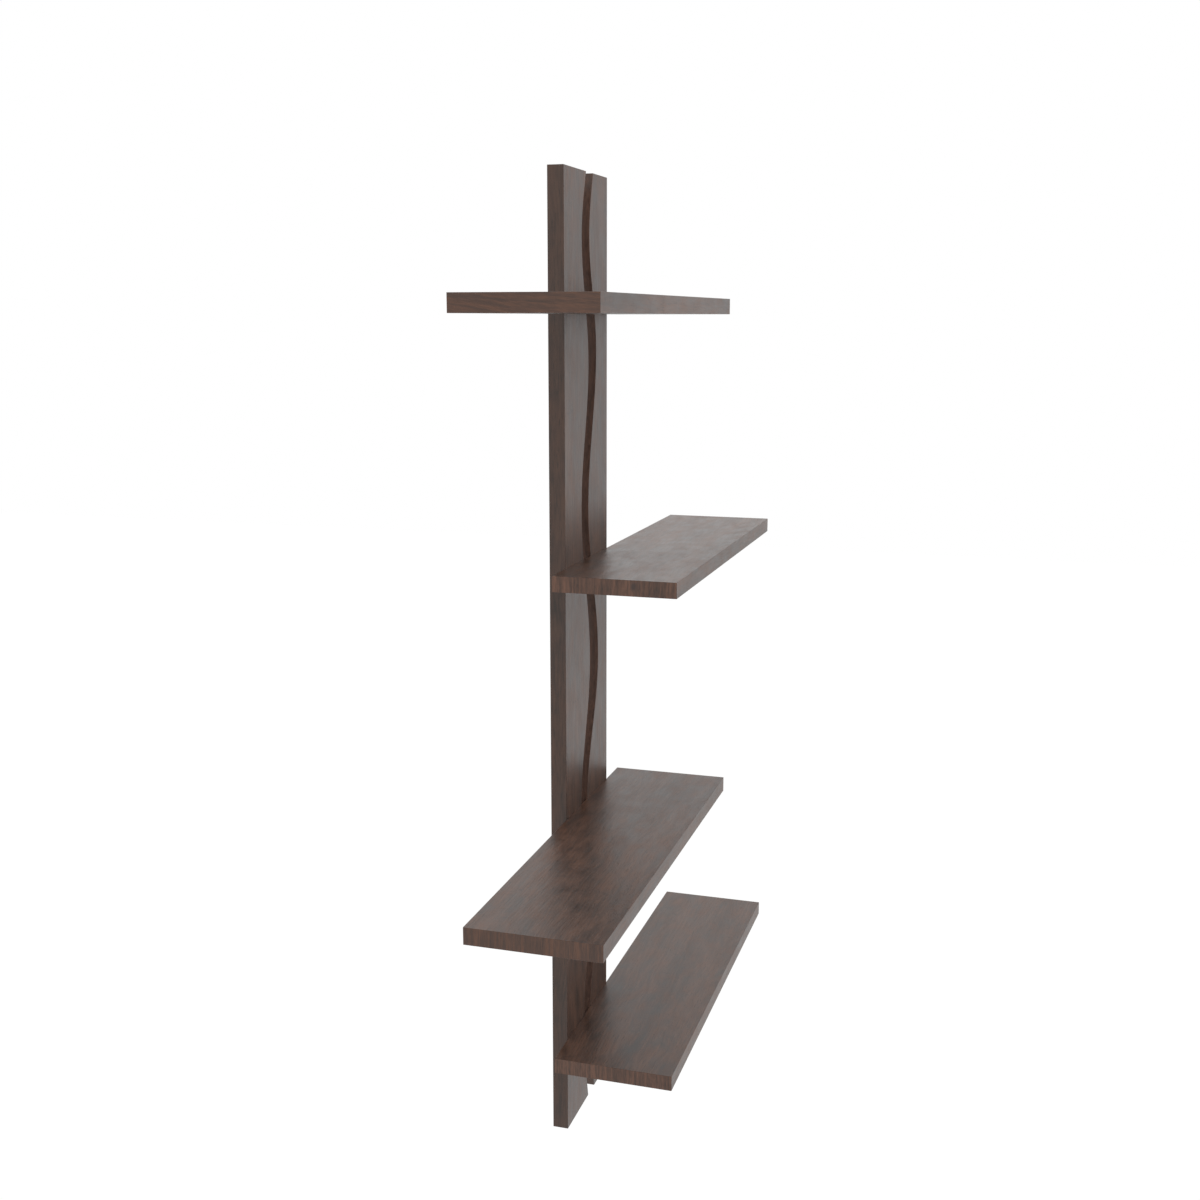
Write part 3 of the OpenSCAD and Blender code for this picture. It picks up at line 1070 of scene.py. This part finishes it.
@dataclass(frozen=True)
class Hanger:
    """A keyhole plate let into a plank's back, its two screws and the tools for its recess. Sizes in mm."""

    level: Level
    side: Side
    wardrobe: Wardrobe
    width: float = 18.0
    thickness: float = 1.6
    edge: float = 0.3
    entry_r: float = 4.75
    slot_w: float = 5.0
    rise: float = 10.0
    pocket_depth: float = 8.0
    screw_r: float = 1.75
    screw_head_r: float = 3.5
    screw_head_edge: float = 0.1
    screw_root: float = 1.15
    screw_pitch: float = 1.6
    screw_l: float = 16.0
    screw_neck: float = 1.0
    screw_points: int = 32
    screw_spacing: float = 2.8
    cross_arm: float = 1.75
    cross_half_w: float = 0.42
    cross_depth: float = 1.7
    # The cross recess narrows to its tip: shares of its depth and of its width where the tip starts
    cross_tip: Pair = (0.8, 0.45)
    plate_gap: float = 0.25
    pocket_gap: float = 1.0
    wood_gap: float = 0.1
    tip_room: float = 1.5
    overrun: float = 1.0
    around: Array = field(default_factory=lambda: angles(64, 0.5))

    @property
    def corner(self) -> str:
        """Which corner of the planks the hanger is in."""
        return f"{self.level.value}_{self.side.value}"

    @property
    def centre(self) -> Pair:
        """Where the keyhole's round entry is.

        Returns:
            Its place along the wall and its height, in metres.
        """
        low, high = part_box(f"hanger_{self.corner}")
        rise = self.width / 2 + self.screw_head_r + self.screw_spacing + self.entry_r
        return (low.x + high.x) / 2, low.z + rise * MM

    @property
    def screw_heights(self) -> Pair:
        """Heights of the two screws over the keyhole's entry, in millimetres."""
        low, high = ((end.z - self.centre[1]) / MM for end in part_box(f"hanger_{self.corner}"))
        return low + self.width / 2, high - self.width / 2

    def round_screws(self, rows: list[Pair]) -> list[Array]:
        """Rings of one shape in place round both screws, for holes."""
        x, z = self.centre
        return [out_from_wall(stack(rows, self.around), x, z + height * MM) for height in self.screw_heights]

    def tools(self) -> list[Mesh]:
        """Tools for the plate's recess with the pocket behind its keyhole, and for the screws' pilot holes.

        Returns:
            The closed tools, dressed as drilled wood.
        """
        recess, pocket = self.width + 2 * self.plate_gap, 2 * (self.entry_r + self.pocket_gap)
        rows = [(-self.overrun, recess), (self.thickness, recess)]
        wide = capsule_stack(rows, *self.screw_heights, self.around)
        rows = [(self.thickness, pocket), (self.thickness + self.pocket_depth, pocket)]
        deep = capsule_stack(rows, 0.0, self.rise, self.around)
        pilot, cone = self.screw_r + self.wood_gap, self.screw_head_r - self.screw_r
        start = self.thickness - self.overrun
        rows = [(start, pilot + cone - start), (cone, pilot), (self.screw_l + self.tip_room, pilot)]
        shapes = [out_from_wall(np.concatenate([wide, deep]), *self.centre), *self.round_screws(rows)]
        return [closed_stack("hanger_recess", shape, self.wardrobe.drilled) for shape in shapes]

    def plate(self) -> Mesh:
        """The stamped plate with eased edges, its keyhole and two countersunk screw holes.

        Returns:
            The plate in place.
        """
        back, narrow = self.thickness, self.width - 2 * self.edge
        rows = [(0.0, narrow), (self.edge, self.width), (back - self.edge, self.width), (back, narrow)]
        rings = out_from_wall(capsule_stack(rows, *self.screw_heights, self.around), *self.centre)
        blank = closed_stack("plate", rings, self.wardrobe.zinc)
        past, flare = back + self.overrun, self.overrun + self.edge
        entry, slot = self.entry_r, self.slot_w
        rows = [(-self.overrun, entry + flare), (self.edge, entry), (past, entry)]
        entry_rings = stack(rows, self.around)
        rows = [(-self.overrun, slot + 2 * flare), (self.edge, slot), (past, slot)]
        slot_rings = capsule_stack(rows, 0.0, self.rise, self.around)
        cone, hole = self.screw_head_r - self.screw_r, self.screw_r + self.wood_gap / 2
        rows = [(-self.overrun, hole + cone + self.overrun), (cone, hole), (past, hole)]
        keyhole = [out_from_wall(rings, *self.centre) for rings in (entry_rings, slot_rings)]
        shapes = keyhole + self.round_screws(rows)
        return carved(blank, [closed_stack("plate_hole", shape, self.wardrobe.zinc) for shape in shapes])

    def screw(self, height: float) -> Mesh:
        """A countersunk wood screw with a cross recess and a coarse thread down to its point.

        Args:
            height: its height over the keyhole's entry, in millimetres.

        Returns:
            The screw in place.
        """
        x, z = self.centre
        corner = np.arctan2(self.cross_half_w, self.cross_arm)
        corners = np.array([-corner, corner, pi / 4]) + np.arange(4)[:, None] * pi / 2
        # The even angles are shifted, so that none of them falls on a corner of the cross.
        around = np.sort(np.concatenate([corners.ravel() % (2 * pi), angles(self.screw_points, 0.3)]))
        cross = cross_radius(around, self.cross_arm, self.cross_half_w)
        tip_depth, tip_width = self.cross_tip
        head, edge, cone = self.screw_head_r, self.screw_head_edge, self.screw_head_r - self.screw_r
        thread_end = self.screw_l - 2 * self.screw_r
        rows = [
            (self.cross_depth, 0.0), (self.cross_depth * tip_depth, cross * tip_width), (0.0, cross),
            (0.0, head - 2 * edge), (edge, head - edge), (cone, self.screw_r),
            *thread_rows(cone + self.screw_neck, thread_end, self.screw_root, self.screw_r,
                         self.screw_pitch, around),
            (self.screw_l, 0.0),
        ]
        rings = out_from_wall(stack(rows, around), x, z + height * MM)
        return closed_stack("screw", rings, self.wardrobe.zinc)

    def make(self) -> None:
        """Set down the plate and its screws."""
        set_down(f"keyhole_plate_{self.corner}", self.plate(), f"hanger_{self.corner}")
        for end, height in zip(("foot", "head"), self.screw_heights):
            name = f"plate_screw_{self.corner}_{end}"
            set_down(name, self.screw(height), f"hanger_screws_{self.corner}")


@dataclass(frozen=True)
class Plank:
    """One of the two upright boards, with its wavy inner edge. Sizes in mm."""

    side: Side
    wardrobe: Wardrobe
    connectors: tuple[Connectors, ...]
    hangers: tuple[Hanger, ...]
    ease: float = 0.5
    sections: int = 240

    def sides(self, height: Array) -> tuple[Array, Array]:
        """Where the plank's two sides are at each height, the outer one straight and the inner one wavy.

        Args:
            height: heights in metres.

        Returns:
            The left and the right side's places along the wall.
        """
        low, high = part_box("left_plank")[0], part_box("right_plank")[1]
        share = (height - low.z) / (high.z - low.z)
        width = high.x - low.x
        if self.side is Side.LEFT:
            return np.full_like(height, low.x), low.x + width * wave(LEFT_EDGE_SHARES, share)
        return low.x + width * wave(RIGHT_EDGE_SHARES, share), np.full_like(height, high.x)

    def make(self) -> None:
        """Set down the plank, drilled for its shelves and let in for its hangers."""
        node = f"{self.side.value}_plank"
        low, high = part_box(node)
        ease = self.ease * MM
        rings = eased_bar((low.z, high.z), self.sections, self.sides, (low.y, high.y), ease, ease)
        board = closed_stack(f"walnut_{node}", rings[..., [1, 2, 0]])
        slot_way = 1.0 if self.side is Side.LEFT else -1.0
        cuts = {
            self.wardrobe.slot_edge: ((slot_way, 0.0, 0.0),),
            self.wardrobe.plank_side: ((-slot_way, 0.0, 0.0),),
            self.wardrobe.plank_end: ((0.0, 0.0, 1.0), (0.0, 0.0, -1.0)),
        }
        dress(board, self.wardrobe.plank_face, cuts)
        tools = [tool for joint in self.connectors for tool in joint.wall_tools(self.side)]
        tools += [tool for hanger in self.hangers for tool in hanger.tools()]
        set_down(f"walnut_{node}", carved(board, tools), node)


@dataclass(frozen=True)
class ShelfBoard:
    """One of the four shelves, a plain board with eased edges. Sizes in mm."""

    joint: Connectors
    wardrobe: Wardrobe
    ease: float = 0.5
    back_ease: float = 0.2
    sections: int = 12

    def make(self) -> None:
        """Set down the shelf, drilled for its bolts, nuts and dowels."""
        node = f"shelf_{self.joint.shelf}"
        low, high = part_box(node)
        rings = eased_bar((low.x, high.x), self.sections, lambda x: (low.y, high.y), (low.z, high.z),
                          self.ease * MM, self.back_ease * MM)
        board = closed_stack(f"walnut_{node}", rings)
        end = self.wardrobe.shelf_ends[self.joint.shelf]
        dress(board, self.wardrobe.shelf_face, {end: ((-1.0, 0.0, 0.0), (1.0, 0.0, 0.0))})
        tools = [tool for side in Side for tool in (*self.joint.wall_tools(side), self.joint.nut_tool(side))]
        set_down(f"walnut_{node}", carved(board, tools), node)


@dataclass(frozen=True)
class Studio:
    """A plain white studio: floor, world, soft lamps and the photograph's camera. Places in mm."""

    camera_place: Point = (-2277.31, -746.721, -125.324)
    camera_yaw: float = 17.024
    camera_pitch: float = -11.038
    lens: float = 43.441
    sensor: float = 36.0
    floor_drop: float = 900.0
    floor_size: float = 24000.0
    floor_mottle: Point = (60.0, 60.0, 60.0)
    world_level: float = 0.8
    shadow_share: float = 0.15
    floor_glow: float = 0.9
    key_place: Point = (-2600.0, -3200.0, 2600.0)
    key_size: Pair = (2600.0, 2600.0)
    key_watts: float = 60.0
    rim_place: Point = (4600.0, 1600.0, 600.0)
    rim_size: Pair = (3600.0, 2400.0)
    rim_watts: float = 7.0

    def seen_directly(self, tree: Tree) -> Socket:
        """A value of 1 for rays that show the background: from the camera, a mirror or a glass.

        Args:
            tree: the tree to add to.

        Returns:
            The socket with that value.
        """
        path = add(tree, "ShaderNodeLightPath").outputs
        seen = path["Is Camera Ray"]
        for name in ("Is Glossy Ray", "Is Transmission Ray"):
            seen = add(tree, "ShaderNodeMath", {0: seen, 1: path[name]}, operation="MAXIMUM").outputs[0]
        return seen

    def light_world(self) -> None:
        """Make a world that is white where it is seen and lights the object at a plain level."""
        world = bpy.data.worlds.new("white studio")
        world.use_nodes = True
        bpy.context.scene.world = world
        tree = world.node_tree
        inputs = {"Value": self.seen_directly(tree), "To Min": self.world_level, "To Max": 1.0}
        strength = add(tree, "ShaderNodeMapRange", inputs).outputs[0]
        feed(tree.nodes["Background"], {"Color": linear("#FFFFFF"), "Strength": strength})

    def lay_floor(self) -> None:
        """Lay a white floor below the hanging shelf.

        Where it is seen it glows, and a small share of its paint still takes light, which keeps a faint
        shadow. The glow and that share together are white.
        """
        half = self.floor_size * MM / 2
        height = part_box("left_plank")[0].z - self.floor_drop * MM
        corners = [(x * half, y * half, height) for x, y in ((-1, -1), (1, -1), (1, 1), (-1, 1))]
        mesh = bpy.data.meshes.new("floor")
        mesh.from_pydata(corners, [], [(0, 1, 2, 3)])
        material, tree, shader, place = start_material("matt white paint")
        mottle = blotches(tree, place, self.floor_mottle, detail=2.0)
        stops = {0.0: "#F1F1F0", 1.0: "#F6F6F6"}
        colour = add(tree, "ShaderNodeValToRGB", {"Fac": mottle}, stops).outputs[0]
        seen = self.seen_directly(tree)
        inputs = {0: seen, 1: 1 - self.shadow_share}
        fade = add(tree, "ShaderNodeMath", inputs, operation="MULTIPLY").outputs[0]
        inputs = {FACTOR: fade, FIRST: colour, SECOND: linear("#000000")}
        paint = add(tree, "ShaderNodeMix", inputs, data_type="RGBA").outputs[MIXED]
        glow = add(tree, "ShaderNodeMath", {0: seen, 1: self.floor_glow}, operation="MULTIPLY").outputs[0]
        feed(shader, {"Base Color": paint, "Roughness": 0.9, "Specular IOR Level": 0.0,
                      "Emission Color": linear("#FFFFFF"), "Emission Strength": glow})
        mesh.materials.append(material)
        floor = bpy.data.objects.new("floor", mesh)
        bpy.context.scene.collection.objects.link(floor)
        floor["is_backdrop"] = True

    def hang_lamp(self, name: str, place: Point, size: Pair, watts: float) -> None:
        """Hang one large soft lamp, turned to the middle of the shelf.

        Args:
            name: the lamp's name.
            place: where it hangs.
            size: its width and height.
            watts: its power.
        """
        light = bpy.data.lights.new(name, "AREA")
        light.shape, light.energy = "RECTANGLE", watts
        light.size, light.size_y = (value * MM for value in size)
        lamp = bpy.data.objects.new(name, light)
        bpy.context.scene.collection.objects.link(lamp)
        low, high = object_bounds()
        lamp.location = [value * MM for value in place]
        lamp.rotation_euler = ((low + high) / 2 - lamp.location).to_track_quat("-Z", "Y").to_euler()

    def set_camera(self) -> None:
        """Set up the camera where the photograph was taken from.

        Unturned it looks down, so a quarter turn brings it level, and another one to face along X.
        """
        eye = bpy.data.cameras.new("camera")
        eye.lens, eye.sensor_width = self.lens, self.sensor
        camera = bpy.data.objects.new("camera", eye)
        bpy.context.scene.collection.objects.link(camera)
        camera.location = [value * MM for value in self.camera_place]
        camera.rotation_euler = (radians(90 + self.camera_pitch), 0.0, radians(self.camera_yaw - 90))
        bpy.context.scene.camera = camera

    def make(self) -> None:
        """Set up the whole studio."""
        self.light_world()
        self.lay_floor()
        self.hang_lamp("key softbox", self.key_place, self.key_size, self.key_watts)
        self.hang_lamp("rim softbox", self.rim_place, self.rim_size, self.rim_watts)
        self.set_camera()
        bpy.context.scene.view_settings.view_transform = "Standard"
        LOG.info("studio is set up")


def main() -> None:
    """Build the shelf piece by piece, then the studio."""
    logging.basicConfig(level=logging.INFO, format="%(name)s: %(message)s")
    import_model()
    wardrobe = Wardrobe()
    connectors = tuple(Connectors(shelf, wardrobe) for shelf in SHELVES)
    hangers = tuple(Hanger(level, side, wardrobe) for level in Level for side in Side)
    for side in Side:
        Plank(side, wardrobe, connectors, tuple(hanger for hanger in hangers if hanger.side is side)).make()
    for joint in connectors:
        ShelfBoard(joint, wardrobe).make()
        joint.make()
    for hanger in hangers:
        hanger.make()
    Studio().make()


if __name__ == "__main__":
    main()
